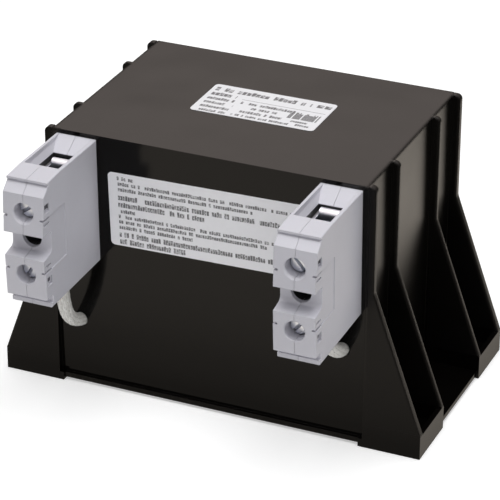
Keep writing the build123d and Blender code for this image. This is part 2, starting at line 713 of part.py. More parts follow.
def clamp_screw(bottom, slot_turn):
    """Slotted clamp screw, its tip on the current bar."""
    z = screw_height(bottom)
    head = -BLOCK_DEPTH + SCREW_SINK
    seat = head + SCREW_HEAD_LENGTH
    screw = rod((0, head, z), (0, seat, z), SCREW_HEAD / 2)
    screw = chamfer(screw.edges().sort_by(Axis.Y)[0], SCREW_HEAD_CHAMFER)
    screw += rod((0, seat, z), (0, -BAR_FRONT, z), CLAMP_SCREW / 2)
    slot = Box(SCREW_HEAD * 2, SLOT_DEPTH * 2, SLOT_WIDTH)
    return screw - Pos(0, head, z) * Rot(0, slot_turn, 0) * slot


def current_bar():
    """Flat copper bar through both clamps, with a round eye for the mounting screw."""
    low = LOWER_CAGE - BAR_END
    high = UPPER_CAGE + CAGE_HEIGHT + BAR_END
    eye = MOUNT_HEIGHT
    half_eye = (UPPER_CAGE - LOWER_CAGE - CAGE_HEIGHT) / 2 - BAR_END
    strip = Pos(0, (low + high) / 2) * Rectangle(BAR_WIDTH, high - low)
    middle = (UPPER_CAGE + LOWER_CAGE + CAGE_HEIGHT) / 2
    wide = Pos(0, middle) * RectangleRounded(BAR_EYE_WIDTH, 2 * half_eye, 2)
    outline = strip + wide - Pos(0, eye) * Circle(BAR_EYE_HOLE / 2)
    return Pos(0, -BAR_FRONT + BAR_THICKNESS, 0) * extrude(Plane.XZ * outline, BAR_THICKNESS)


def mounting_screw():
    """Pan-head screw that holds the block to the housing."""
    z = MOUNT_HEIGHT
    top = -MOUNT_SEAT - MOUNT_HEAD_HEIGHT
    head = rod((0, top, z), (0, -MOUNT_SEAT, z), MOUNT_HEAD / 2)
    shank = rod((0, -MOUNT_SEAT, z), (0, MOUNT_SCREW_GRIP, z), MOUNT_SCREW / 2)
    slot = Pos(0, top, z) * Box(MOUNT_HEAD * 2, SLOT_DEPTH * 2, SLOT_WIDTH)
    return head + shank - slot


def mounting_thread(side):
    """Part of the mounting screw that sits in the wall and the resin."""
    start = in_block(side, 0, 0, MOUNT_HEIGHT)
    end = in_block(side, 0, MOUNT_SCREW_GRIP, MOUNT_HEIGHT)
    return rod(start, end, MOUNT_SCREW / 2)


def label(size, place):
    """Thin label with round corners on a surface."""
    return place * extrude(RectangleRounded(*size, LABEL_RADIUS), LABEL_THICKNESS)


def rating_label():
    """Label on the top."""
    x, y = TOP_LABEL_CENTRE
    return label(TOP_LABEL, Location((x, y, BODY_HEIGHT)))


def front_label():
    """Label on the front wall, between the terminal blocks."""
    height = BODY_HEIGHT - FRONT_LABEL_DROP
    wall = Location((0, wall_y(height), height), (90 + LEAN, 0, 0))
    return label(FRONT_LABEL, wall * Rot(0, 0, FRONT_LABEL_TURN))


def terminal_block(side, name):
    """All pieces of one terminal block, in place on the front wall."""
    body = block_body()
    pieces = {
        "left_shell": half_shell(body, -1),
        "right_shell": half_shell(body, 1),
        "upper_cage": upper_cage(CAGE_OPENED[side]),
        "lower_cage": cage(LOWER_CAGE, CAGE_REAR),
        "upper_screw": clamp_screw(UPPER_CHAMBER, UPPER_SLOT_TURN[side]),
        "lower_screw": clamp_screw(LOWER_CHAMBER, LOWER_SLOT_TURN[side]),
        "current_bar": current_bar(),
        "mounting_screw": mounting_screw(),
    }
    return {f"{name}_block_{piece}": block_place(side) * solid for piece, solid in pieces.items()}


def all_nodes():
    """Every named piece of the choke."""
    nodes = {
        "housing": housing(),
        "potting_compound": potting_compound(),
        "e_core": e_core(),
        "i_core": i_core(),
        "air_gap_spacers": Compound(children=air_gap_spacers()),
        "core_bolts": Compound(children=core_bolts()),
        "core_nuts": Compound(children=core_nuts()),
        "coil_former": coil_former(),
        "winding": winding(),
        "winding_wrap": winding_wrap(),
        "rating_label": rating_label(),
        "front_label": front_label(),
    }
    for side, name in ((-1, "left"), (1, "right")):
        nodes[f"{name}_lead_wire"] = lead_wire(side)
        nodes[f"{name}_lead_sleeve"] = lead_sleeve(side)
        nodes.update(terminal_block(side, name))
    return nodes


os.makedirs("parts", exist_ok=True)
for node, solid in all_nodes().items():
    export_step(solid, f"parts/{node}.step")
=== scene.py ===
# %% [markdown]
# A potted choke: a ribbed black housing on four feet, two grey terminal blocks on its front
# wall, a lead under each block and two white labels. Its solids come ready from the packed
# part, so their shapes and places aren't made again here. This lesson gives each of them its
# finish, weaves the sleeves of the two leads, prints the labels with plain bars, and sets up
# the camera, the floor and the light.

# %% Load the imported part
import math

import bpy
import numpy as np
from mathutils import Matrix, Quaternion, Vector


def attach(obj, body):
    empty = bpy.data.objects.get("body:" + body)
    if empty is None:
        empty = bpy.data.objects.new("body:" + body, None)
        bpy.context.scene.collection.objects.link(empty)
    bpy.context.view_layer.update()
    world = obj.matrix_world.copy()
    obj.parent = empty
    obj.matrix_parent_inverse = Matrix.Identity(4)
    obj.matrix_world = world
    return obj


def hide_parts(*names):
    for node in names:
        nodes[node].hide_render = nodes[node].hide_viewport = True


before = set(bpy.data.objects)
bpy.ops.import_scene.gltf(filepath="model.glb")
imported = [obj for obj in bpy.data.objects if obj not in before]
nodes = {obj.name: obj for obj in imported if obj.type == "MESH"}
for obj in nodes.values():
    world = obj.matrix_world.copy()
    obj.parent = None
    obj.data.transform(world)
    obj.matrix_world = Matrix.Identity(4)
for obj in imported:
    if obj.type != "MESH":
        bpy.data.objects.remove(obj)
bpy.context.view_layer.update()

MM = 0.001

# %% [markdown]
# The photograph was taken from about 1.3 m away with a long lens, from the right of the front
# wall and from above. Such a view could be found by eye, with a picture behind the model, but
# here it was worked out: the corners of the housing, the ribs and the feet give enough points
# to solve for the place, the turn and the lens at once. A camera that stands in the true place
# needs no shift, only a roll of a fifth of a degree.

# %% Camera
CAMERA_AZIMUTH = math.radians(23.466)
CAMERA_ELEVATION = math.radians(27.108)
CAMERA_ROLL = math.radians(0.208)
CAMERA_PLACE = Vector((444.017, -1029.689, 632.029)) * MM
CAMERA_LENS = 193.842

camera_data = bpy.data.cameras.new("camera")
camera_data.sensor_width = 36.0
camera_data.lens = CAMERA_LENS
camera_data.clip_start, camera_data.clip_end = 0.01, 50.0
camera = bpy.data.objects.new("camera", camera_data)
backwards = Vector((
    math.sin(CAMERA_AZIMUTH) * math.cos(CAMERA_ELEVATION),
    -math.cos(CAMERA_AZIMUTH) * math.cos(CAMERA_ELEVATION),
    math.sin(CAMERA_ELEVATION),
))
camera.location = CAMERA_PLACE
aim = (-backwards).to_track_quat("-Z", "Y") @ Quaternion((0.0, 0.0, 1.0), CAMERA_ROLL)
camera.rotation_euler = aim.to_euler()
scene = bpy.context.scene
scene.collection.objects.link(camera)
scene.camera = camera
scene.view_settings.view_transform = "Standard"
print("camera at", [round(v, 3) for v in camera.location])

# %% [markdown]
# A finish is a web of nodes, and it could be drawn by hand in the Shader Editor. In a script
# the maths is easier to read as ordinary expressions, so a small class wraps one socket, and
# each operator on it adds the matching Math node.


# %% One socket
class Value:
    """One socket of a node tree. Operators on it add Math nodes."""

    def __init__(self, paint, socket):
        self.paint, self.socket = paint, socket

    def math(self, operation, *values):
        inputs = dict(enumerate(values))
        return self.paint.node("Math", {"operation": operation}, inputs)

    def __add__(self, other):
        return self.math("ADD", self, other)

    def __sub__(self, other):
        return self.math("SUBTRACT", self, other)

    def __rsub__(self, other):
        return self.math("SUBTRACT", other, self)

    def __mul__(self, other):
        return self.math("MULTIPLY", self, other)

    def __truediv__(self, other):
        return self.math("DIVIDE", self, other)

    def __lt__(self, other):
        return self.math("LESS_THAN", self, other)

    def __gt__(self, other):
        return self.math("GREATER_THAN", self, other)

    def __abs__(self):
        return self.math("ABSOLUTE", self)

    def __floor__(self):
        return self.math("FLOOR", self)

    __radd__ = __add__
    __rmul__ = __mul__

    def fraction(self):
        return self.math("FRACT", self)

    def sine(self):
        return self.math("SINE", self)

    def most(self, other):
        return self.math("MAXIMUM", self, other)

    def root(self):
        return self.math("SQRT", self)

    def clamped(self):
        return self.math("MINIMUM", self.math("MAXIMUM", self, 0.0), 1.0)

    def other(self, name):
        """Another output of the same node."""
        return Value(self.paint, self.socket.node.outputs[name])


# %% [markdown]
# The other nodes have names for their sockets and settings of their own. One method adds any
# of them, and the short methods below it are the few that nearly every finish needs: a place
# on the piece, noise, a colour between two colours, a rounded edge and a bump.


# %% One node tree
class Paint:
    """One node tree, with one method that adds any node to it."""

    def __init__(self, tree):
        self.tree = tree

    def node(self, kind, settings=None, inputs=None, output=0):
        made = self.tree.nodes.new("ShaderNode" + kind)
        for name, setting in (settings or {}).items():
            if name == "stops":
                self.set_stops(made.color_ramp.elements, setting)
            else:
                setattr(made, name, setting)
        for name, value in (inputs or {}).items():
            self.feed(made.inputs[name], value)
        return Value(self, made.outputs[output])

    @staticmethod
    def set_stops(elements, stops):
        while len(elements) < len(stops):
            elements.new(1.0)
        for element, (position, level) in zip(elements, stops):
            element.position = position
            colour = (level, level, level) if isinstance(level, float) else level
            element.color = (*colour, 1.0)

    def feed(self, socket, value):
        if isinstance(value, Value):
            self.tree.links.new(value.socket, socket)
        elif isinstance(value, tuple) and len(value) == 3 and socket.type == "RGBA":
            socket.default_value = (*value, 1.0)
        else:
            socket.default_value = value

    def place(self, turn=(0.0, 0.0, 0.0), shift=(0.0, 0.0, 0.0), scale=(1.0, 1.0, 1.0)):
        """Object coordinates, shifted, turned and scaled by a Mapping node."""
        object_space = self.node("TexCoord", output="Object")
        return self.node("Mapping", {"vector_type": "POINT"}, {
            "Vector": object_space, "Location": shift, "Rotation": turn, "Scale": scale,
        })

    def parts(self, vector):
        """The x, y and z of a vector."""
        split = self.node("SeparateXYZ", None, {"Vector": vector})
        return split, split.other("Y"), split.other("Z")

    def noise(self, vector, scale, detail=2.0, roughness=0.5):
        """Smooth noise; the scale counts its cells in a metre."""
        return self.node("TexNoise", {"noise_dimensions": "3D"}, {
            "Vector": vector, "Scale": scale, "Detail": detail, "Roughness": roughness,
        })

    def mix(self, factor, first, second):
        """Colour between two colours."""
        mixed = self.node("Mix", {"data_type": "RGBA"}, {"Factor": factor}, output="Result")
        node = mixed.socket.node
        self.feed(node.inputs[6], first)
        self.feed(node.inputs[7], second)
        return Value(self, node.outputs[2])

    def between(self, factor, first, second):
        """Vector between two vectors."""
        apart = self.node("VectorMath", {"operation": "SUBTRACT"}, {0: second, 1: first})
        part = self.node("VectorMath", {"operation": "SCALE"}, {0: apart, "Scale": factor})
        return self.node("VectorMath", {"operation": "ADD"}, {0: first, 1: part})

    def bevel(self, radius):
        """Normal of edges rounded by a radius."""
        return self.node("Bevel", {"samples": 4}, {"Radius": radius}, output="Normal")

    def bump(self, height, distance, strength=1.0, normal=None):
        """Bump of a height in a distance given in metres."""
        inputs = {"Height": height, "Distance": distance, "Strength": strength}
        if normal is not None:
            inputs["Normal"] = normal
        return self.node("Bump", None, inputs, output="Normal")


# %% [markdown]
# A material is one node tree with a surface shader at its end. What is the same all over a
# piece is set on the shader's own sockets, and only what varies comes from nodes.


# %% One material
class Finish(Paint):
    """A material with its surface shader."""

    def __init__(self, name, **constants):
        self.material = bpy.data.materials.new(name)
        self.material.use_nodes = True
        super().__init__(self.material.node_tree)
        self.shader = self.tree.nodes["Principled BSDF"]
        self.set(**constants)

    def set(self, **sockets):
        """Sets or links the shader's sockets; a space in a socket's name is written as _."""
        for name, value in sockets.items():
            self.feed(self.shader.inputs[name.replace("_", " ")], value)

    def wear(self, *names):
        """Puts the material on CAD nodes or pieces."""
        for name in names:
            piece = nodes[name] if isinstance(name, str) else name
            piece.data.materials.clear()
            piece.data.materials.append(self.material)
        print(self.material.name, "on", len(names), "pieces,", len(self.tree.nodes), "nodes")


# %% [markdown]
# The housing is moulded from a glossy black plastic. Nearly all that is seen of it is what it
# reflects: the pale floor in its walls, the sky of the studio in its top. A dark grey would
# give it the same tone from one side only, so it is nearly black with a clear gloss, which
# reflects little where it is seen squarely and much more where it is seen at a slant. The
# surface is never quite flat, so a broad and shallow bump bends the reflections, and a Bevel
# node rounds the moulded edges: narrowly all over, widely on the outer faces of the ribs and
# where the top meets the two side walls. The side walls came out of the mould a little duller,
# and resin has run along the ledge at the foot of the front and back walls.

# %% Black plastic
BLACK = (0.0012, 0.0010, 0.0009)
BLACK_WORN = (0.0024, 0.0020, 0.0017)
SIDE_WALL = 76.2 * MM
WALL_BAND = 0.35 * MM
RIB_START = 1.2 * MM
FOOT_TOP = 12.0 * MM
LONG_EDGE = 74.2 * MM
LONG_EDGE_BAND = 2.4 * MM
LONG_EDGE_BOTTOM = 126.5 * MM
LEDGE_TOP = 4.4 * MM
LEDGE_START = 52.3 * MM
LEDGE_HALF_LENGTH = 75.0 * MM

black = Finish("black_plastic", IOR=1.27)
spot = black.place()
cloud = black.noise(spot, 90.0, 3.0)
grain = black.noise(spot, 2600.0, 2.0)
black.set(Base_Color=black.mix(cloud, BLACK, BLACK_WORN))
x, y, z = black.parts(spot)
beyond = abs(x) - SIDE_WALL
side_wall = abs(beyond) < WALL_BAND
rib_edge = (beyond > RIB_START) * (z > FOOT_TOP)
dull = side_wall * 0.20 + rib_edge * 0.28
black.set(Roughness=0.07 + dull + cloud * 0.04 + grain * 0.02)
long_edge = (z > LONG_EDGE_BOTTOM) * (abs(abs(x) - LONG_EDGE) < LONG_EDGE_BAND)
sharp, soft = black.bevel(0.16 * MM), black.bevel(1.8 * MM)
rounded = black.between(long_edge.most(rib_edge), sharp, soft)
ledge = (z < LEDGE_TOP) * (abs(y) > LEDGE_START) * (abs(x) < LEDGE_HALF_LENGTH)
drips = black.noise(spot, 160.0, 3.0) * ledge
waves = black.bump(black.noise(spot, 22.0, 1.0), 0.35 * MM, 1.0, rounded)
waves = black.bump(drips, 1.6 * MM, 1.0, waves)
black.set(Normal=black.bump(grain, 0.012 * MM, 0.6, waves))
black.wear("housing")

# %% [markdown]
# The resin was poured in with the part upside down, and set with a smooth, slightly wavy
# surface. The waves could be modelled, but they are shallow and no outline shows them, so a
# bump is enough. A clear coat gives the resin a wetter gloss than the housing.

# %% Cast resin
resin = Finish("cast_resin", Roughness=0.22, Coat_Weight=0.6, Coat_Roughness=0.08)
spot = resin.place()
pools = resin.noise(spot, 35.0, 4.0, 0.55)
resin.set(Base_Color=resin.mix(pools, (0.018, 0.019, 0.022), (0.032, 0.032, 0.035)))
resin.set(Normal=resin.bump(pools, 0.9 * MM))
resin.wear("potting_compound")

# %% [markdown]
# The terminal blocks are moulded from a light grey plastic with a fine satin surface. It
# scatters light evenly, so its colour carries it: a faint clouding, a fine grain, and edges
# that are a little rounded. Hardly any light reaches the clamp chambers and the bore of the
# mounting screw on the real part. A lamp of this size still fills them here, so their walls
# are painted nearly black as painted shade, picked out by where they lie on the block, and
# painted shade also darkens the floors of the four small latch windows of each block.

# %% Grey plastic
BLOCK_MIDDLE = 64.0 * MM
BLOCK_REAR = -56.0 * MM
CHAMBER_HALF_WIDTH = 6.95 * MM
CHAMBER_FRONT = -93.5 * MM
CHAMBER_BOTTOM = 68.5 * MM
MOUTH_Z = 122.5 * MM
BORE_Z = 98.2 * MM
BORE_FRONT = -97.8 * MM
BORE_RADIUS = 5.0 * MM
LATCH_Y = -103.7 * MM
LATCH_Z = 99.2 * MM
LATCH_OFFSET = 17.85 * MM
LATCH_FLOOR = 8.9 * MM
LATCH_HALF_LENGTH = 2.4 * MM
LATCH_HALF_HEIGHT = 2.3 * MM
LATCH_BAND = 0.4 * MM

grey = Finish("grey_plastic", IOR=1.46)
spot = grey.place()
flow = grey.noise(spot, 60.0, 3.0)
grain = grey.noise(spot, 5200.0, 2.0)
x, y, z = grey.parts(spot)
across = abs(x) - BLOCK_MIDDLE
chambers = (abs(across) < CHAMBER_HALF_WIDTH) * (y > CHAMBER_FRONT)
chambers = chambers * (z > CHAMBER_BOTTOM) * (z < MOUTH_Z)
above_bore = z - BORE_Z
bore = across * across + above_bore * above_bore < BORE_RADIUS ** 2
bore = bore * (y > BORE_FRONT)
# Painted shade: the chambers and the bore are coloured nearly black.
inside = chambers.most(bore) * (y < BLOCK_REAR)
latch = abs(abs(z - LATCH_Z) - LATCH_OFFSET) < LATCH_HALF_HEIGHT
latch = latch * (abs(y - LATCH_Y) < LATCH_HALF_LENGTH)
latch = latch * (abs(abs(across) - LATCH_FLOOR) < LATCH_BAND)
tone = grey.mix(flow, (0.585, 0.58, 0.635), (0.63, 0.625, 0.68))
# Painted shade: the latch window floors are coloured dark grey.
tone = grey.mix(latch, tone, (0.11, 0.11, 0.125))
grey.set(Base_Color=grey.mix(inside, tone, (0.02, 0.02, 0.022)))
grey.set(Roughness=0.42 + grain * 0.12)
grey.set(Normal=grey.bump(grain, 0.02 * MM, 0.7, grey.bevel(0.35 * MM)))
SIDES = ("left", "right")
grey.wear(*[f"{side}_block_{half}_shell" for side in SIDES for half in SIDES])

# %% [markdown]
# Clamp cages and screws are plated steel, and the current bars are tinned copper. A plain
# metal would look like a mirror. Rolling and stamping leave long fine lines in the real ones,
# so the noise that drives roughness and bump is stretched along one direction, and the three
# metals share one function.


# %% Metals
def plated(name, colour, roughness, stretch):
    """Plated metal: noise stretched along an axis drives colour, roughness and bump."""
    metal = Finish(name, Metallic=1.0)
    lines = metal.noise(metal.place(scale=stretch), 900.0, 3.0, 0.6)
    cloud = metal.noise(metal.place(), 220.0, 2.0)
    darker = tuple(0.78 * level for level in colour)
    metal.set(Base_Color=metal.mix(cloud, darker, colour))
    metal.set(Roughness=roughness + lines * 0.16)
    metal.set(Normal=metal.bump(lines, 0.02 * MM, 0.5, metal.bevel(0.3 * MM)))
    return metal


clamp_metal = plated("clamp_metal", (0.76, 0.80, 0.88), 0.22, (0.25, 1.0, 1.0))
clamp_metal.wear(*[
    f"{side}_block_{piece}" for side in SIDES
    for piece in ("upper_cage", "lower_cage", "upper_screw", "lower_screw")
])
tinned = plated("tinned_copper", (0.78, 0.77, 0.74), 0.30, (1.0, 1.0, 0.2))
tinned.wear(*[f"{side}_block_current_bar" for side in SIDES])
zinc = plated("zinc_steel", (0.62, 0.64, 0.68), 0.28, (1.0, 0.3, 1.0))
zinc.wear("core_bolts", "core_nuts", *[f"{side}_block_mounting_screw" for side in SIDES])

# %% [markdown]
# The core, the winding and their insulation are cast in, and no view shows them. They still
# get a true finish, because the pieces can be looked at one by one. The core is a
# stack of sheets on edge, half a millimetre thick, and the winding is close turns of enamelled
# wire. Each sheet and turn could be modelled, but that would cost far more faces than it is
# worth in a place that nobody sees, so stripes of bump stand for them.

# %% Hidden pieces
SHEET = 0.5 * MM
TURN = 1.9 * MM

core = Finish("core_steel", Metallic=1.0)
x, y, z = core.parts(core.place())
joint = abs((y / SHEET).fraction() - 0.5) > 0.42
mill = core.noise(core.place(), 400.0, 3.0)
steel = core.mix(mill, (0.30, 0.31, 0.33), (0.38, 0.39, 0.41))
core.set(Base_Color=core.mix(joint, steel, (0.08, 0.08, 0.09)))
core.set(Roughness=0.38 + mill * 0.2, Normal=core.bump(1.0 - joint, 0.05 * MM))
core.wear("e_core", "i_core")

turns = Finish("copper", Metallic=1.0)
x, y, z = turns.parts(turns.place())
crown = (z * (2 * math.pi / TURN)).sine() * 0.5 + 0.5
tone = turns.noise(turns.place(), 120.0, 2.0)
turns.set(Base_Color=turns.mix(tone, (0.62, 0.26, 0.12), (0.78, 0.38, 0.2)))
turns.set(Roughness=0.3 - crown * 0.1, Normal=turns.bump(crown, 0.3 * MM))
turns.wear("winding", "left_lead_wire", "right_lead_wire")

pressed = Finish("insulation")
fibre = pressed.noise(pressed.place(scale=(1.0, 0.3, 1.0)), 700.0, 4.0, 0.6)
pressed.set(Base_Color=pressed.mix(fibre, (0.50, 0.40, 0.20), (0.62, 0.52, 0.30)))
pressed.set(Roughness=0.6 + fibre * 0.15, Normal=pressed.bump(fibre, 0.04 * MM))
pressed.wear("air_gap_spacers", "coil_former", "winding_wrap")

# %% [markdown]
# Both labels are smooth white film with rows of plain black bars. Bars could come from an
# image, but maths keeps them sharp at any size and needs no file. A row is known by its middle,
# its height, where it starts and ends and how wide one cell is, all in millimetres on the
# label, and a random number for each cell cuts the row into groups of uneven length.


# %% One row of bars
FLECKED_CELL = 0.8


def printed_row(film, u, v, row, seed):
    """Ink where v is within the row's height and u between its ends, less the random gaps.
    Inside a cell the ink leaves a margin, its upper edge goes up in about a third of them,
    and wide cells are flecked, so that a row is an even grey from a step away."""
    middle, height, start, end, cell = row
    column = math.floor((u - start) / cell) + float(seed * 211)
    chance = film.node("TexWhiteNoise", {"noise_dimensions": "1D"}, {"W": column})
    rise = film.node("TexWhiteNoise", {"noise_dimensions": "1D"}, {"W": column + 0.37})
    across = abs(((u - start) / cell).fraction() - 0.5) < 0.43
    tall = 0.36 + (rise > 0.64) * 0.14
    offset = (v - middle) / height
    upright = (offset > -0.36) * (offset < tall)
    within = (u > start) * (u < end)
    mark = across * upright * within * (chance > 0.15)
    if cell > FLECKED_CELL:
        fleck = math.floor(u / (cell * 0.37)) * 17.3 + math.floor(v / (height * 0.3))
        fleck = film.node("TexWhiteNoise", {"noise_dimensions": "1D"}, {"W": fleck})
        mark = mark * (0.5 + (fleck > 0.30) * 0.5)
    return mark


# %% Printed film
def printed_film(name, turn, shift, rows, white, extras=()):
    """White film whose ink is the sum of its rows; turn and shift bring the label's middle
    and its own x and y to the Object coordinates."""
    film = Finish(name, IOR=1.45)
    place = film.place(turn, shift)
    millimetres = film.node("VectorMath", {"operation": "SCALE"}, {0: place, "Scale": 1 / MM})
    u, v, _ = film.parts(millimetres)
    ink = None
    for number, row in enumerate(rows):
        mark = printed_row(film, u, v, row, number)
        ink = mark if ink is None else ink.most(mark)
    for middle, height, start, end in extras:
        mark = (abs(v - middle) < height / 2) * (u > start) * (u < end)
        ink = ink.most(mark)
    paper = film.noise(film.place(), 500.0, 3.0)
    shaded = tuple(0.94 * level for level in white)
    blank = film.mix(paper, shaded, white)
    film.set(Base_Color=film.mix(ink * 0.86, blank, (0.03, 0.03, 0.035)))
    film.set(Roughness=0.32 + paper * 0.08 + ink * 0.1)
    film.set(Normal=film.bump(paper, 0.02 * MM, 0.4))
    return film


# %% [markdown]
# The label on the top lies flat, so its own directions are those of the part, and only its
# middle has to be moved to the origin. It has a bold row at the top, a thin line under it,
# short rows in two columns and a block of upright bars at the lower right.

# %% Label on the top
TOP_MIDDLE = (2.2 * MM, 3.4 * MM)
TOP_ROWS = [
    (10.3, 4.6, -28.6, 19.6, 2.25),
    (4.9, 4.2, -28.4, -15.6, 2.05),
    (-0.2, 3.2, -28.2, -14.6, 1.35),
    (-4.8, 3.0, -28.0, -13.4, 1.3),
    (-9.4, 3.0, -27.8, -13.6, 1.35),
    (-13.6, 2.6, -27.8, -13.4, 1.2),
    (0.1, 3.0, -11.6, 15.8, 1.35),
    (-4.3, 3.0, -4.6, 8.2, 1.3),
    (-8.9, 3.0, -8.4, 12.2, 1.35),
    (-13.2, 2.4, -11.0, 17.4, 1.05),
    (-3.6, 8.4, 13.8, 28.2, 0.62),
    (-9.3, 2.3, 17.0, 25.0, 1.1),
    (-12.5, 2.3, 20.4, 27.2, 1.1),
    (10.7, 4.4, 21.8, 29.4, 3.7),
]
TOP_LINE = (3.7, 0.3, -12.4, 28.8)
# Painted shade: the top label's white is set darker than the front one's, to make up for the
# strong light from above.
top_film = printed_film(
    "top_label_film", (0.0, 0.0, 0.0), (-TOP_MIDDLE[0], -TOP_MIDDLE[1], 0.0), TOP_ROWS,
    (0.84, 0.84, 0.87), [TOP_LINE],
)
top_film.wear("rating_label")

# %% [markdown]
# The label on the front stands on the leaning wall. A Mapping node turns its plane flat first,
# so the same rows work, and a second turn of about a degree follows the label, which was stuck
# on a little askew. The rows come in two groups, each with small rows above larger ones.

# %% Label on the front
FRONT_MIDDLE_Z = 95.9 * MM
FRONT_TURN = (-math.pi / 2, 0.0, math.radians(-1.1))
FRONT_ROWS = [
    (15.5, 2.1, -42.3, -34.2, 1.12),
    (12.8, 2.1, -42.0, 46.0, 1.12),
    (10.0, 2.1, -42.0, 26.0, 1.12),
    (5.9, 3.0, -42.2, 46.0, 1.22),
    (2.3, 3.0, -42.2, 0.4, 1.22),
    (-0.9, 2.1, -42.2, -33.9, 1.12),
    (-3.6, 2.1, -42.2, 46.0, 1.12),
    (-6.2, 2.1, -42.2, 30.5, 1.12),
    (-9.0, 2.1, -42.2, -5.7, 1.12),
    (-12.8, 3.0, -42.3, 46.0, 1.22),
    (-16.3, 3.0, -42.2, -9.5, 1.22),
]
# Painted light: the front label's white is set brighter, to make up for the weaker light on the
# front wall.
front_film = printed_film(
    "front_label_film", FRONT_TURN, (0.0, -FRONT_MIDDLE_Z, 0.0), FRONT_ROWS, (0.94, 0.94, 0.97),
)
front_film.wear("front_label")

# %% [markdown]
# Each lead is a stranded wire that comes out of the front wall and bends up into its clamp.
# Its middle line could be drawn as straight runs with arcs between them, which looks like bent
# wire. A NURBS spline through the air near the same few points bends evenly, as a lead under
# its own stiffness does, and Blender works out its points.


# %% Middle line of a lead
def lead_middle(name, route, step):
    """Evenly spaced points on the smooth curve of a lead's route, and the unit tangents.
    The curve is a NURBS spline of order 3, read as points from a curve with no bevel."""
    curve = bpy.data.curves.new(name, "CURVE")
    curve.dimensions = "3D"
    curve.resolution_u = 48
    spline = curve.splines.new("NURBS")
    spline.points.add(len(route) - 1)
    for point, place in zip(spline.points, route):
        point.co = (*(coordinate * MM for coordinate in place), 1.0)
    spline.order_u = 3
    spline.use_endpoint_u = True
    line = bpy.data.objects.new(name, curve)
    mesh = bpy.data.meshes.new_from_object(line)
    points = np.empty(len(mesh.vertices) * 3)
    mesh.vertices.foreach_get("co", points)
    points = points.reshape(-1, 3)
    bpy.data.meshes.remove(mesh)
    bpy.data.objects.remove(line)
    along = np.concatenate([[0.0], np.cumsum(np.linalg.norm(np.diff(points, axis=0), axis=1))])
    at = np.linspace(0.0, along[-1], max(int(along[-1] / step), 8))
    even = np.stack([np.interp(at, along, points[:, axis]) for axis in range(3)], axis=1)
    tangent = np.gradient(even, axis=0)
    return even, tangent / np.linalg.norm(tangent, axis=1, keepdims=True), at


# %% [markdown]
# Over the wire goes a sleeve braided from glass yarn: twenty flat strands turn one way round
# it and twenty the other, and each passes over one and under the next. A bump could suggest
# that, but the outline would stay as smooth as a hose. So every strand is a flat tube of its
# own. Its middle follows the lead at a slowly turning angle, while its distance from the lead's
# middle rises and falls, and all strands are worked out at once as one array.


# %% Woven sleeve
STRANDS = 20
SLEEVE_RADIUS = 2.95 * MM
WEAVE_RISE = 0.13 * MM
STRAND_HALF_WIDTH = 0.47 * MM
STRAND_HALF_THICKNESS = 0.15 * MM
WEAVE_PITCH = 110.0 * MM
STRAND_SIDES = 6
WEAVE_STEP = 0.6 * MM


def woven_sleeve(name, route, reference):
    """Mesh of all strands of a braided sleeve.
    Along the lead, strand k of hand h = +1 or -1 stands at the angle
    h (2 pi s / pitch) + 2 pi k / N, at the radius R + h A cos(N 2 pi s / pitch + pi k), so that
    the two hands pass over each other in turn. Its section is a flat ellipse."""
    middle, tangent, along = lead_middle(name, route, WEAVE_STEP)
    first = reference - tangent * (tangent @ reference)[:, None]
    first /= np.linalg.norm(first, axis=1, keepdims=True)
    second = np.cross(tangent, first)
    hands = np.repeat([1.0, -1.0], STRANDS)[:, None]
    number = np.tile(np.arange(STRANDS), 2)[:, None]
    turn = 2 * np.pi * along[None, :] / WEAVE_PITCH
    angle = hands * turn + 2 * np.pi * number / STRANDS
    radius = SLEEVE_RADIUS + hands * WEAVE_RISE * np.cos(STRANDS * turn + np.pi * (number % 2))
    outward = np.cos(angle)[..., None] * first + np.sin(angle)[..., None] * second
    around = np.cross(tangent[None], outward)
    pitch_angle = np.arctan2(2 * np.pi * SLEEVE_RADIUS, WEAVE_PITCH)
    sideways = around * np.cos(pitch_angle) - hands[..., None] * tangent * np.sin(pitch_angle)
    centre = middle[None] + outward * radius[..., None]
    section = 2 * np.pi * np.arange(STRAND_SIDES) / STRAND_SIDES
    across = STRAND_HALF_WIDTH * np.cos(section)
    through = STRAND_HALF_THICKNESS * np.sin(section)
    rings = (
        centre[:, :, None, :]
        + sideways[:, :, None, :] * across[:, None]
        + outward[:, :, None, :] * through[:, None]
    )
    strands, steps = centre.shape[:2]
    ring = np.arange(strands * steps * STRAND_SIDES).reshape(strands, steps, STRAND_SIDES)
    here, ahead = ring[:, :-1], ring[:, 1:]
    sides = np.stack([here, np.roll(here, -1, 2), np.roll(ahead, -1, 2), ahead], axis=-1)
    lids = np.concatenate([ring[:, 0, ::-1], ring[:, -1]])
    faces = sides.reshape(-1, 4).tolist() + lids.tolist()
    mesh = bpy.data.meshes.new(name)
    mesh.from_pydata(rings.reshape(-1, 3).tolist(), [], faces)
    mesh.polygons.foreach_set("use_smooth", np.ones(len(mesh.polygons), bool))
    piece = bpy.data.objects.new(name, mesh)
    scene.collection.objects.link(piece)
    shade = np.random.default_rng(5).uniform(0.0, 1.0, strands)
    tones = mesh.attributes.new("shade", "FLOAT", "POINT")
    tones.data.foreach_set("value", np.repeat(shade, steps * STRAND_SIDES))
    outer = np.linalg.norm(rings - middle[None, :, None, :], axis=-1).max()
    print(name, "length", round(along[-1] / MM, 1), "mm, faces", len(mesh.polygons),
          "outer radius", round(outer / MM, 2), "mm")
    return piece


# %% [markdown]
# The yarn is off-white and dull, and no two strands have quite the same tone. One colour would
# hide the weave, so each strand has a random shade in an attribute of its mesh, and noise and a
# fine bump make it fibrous.

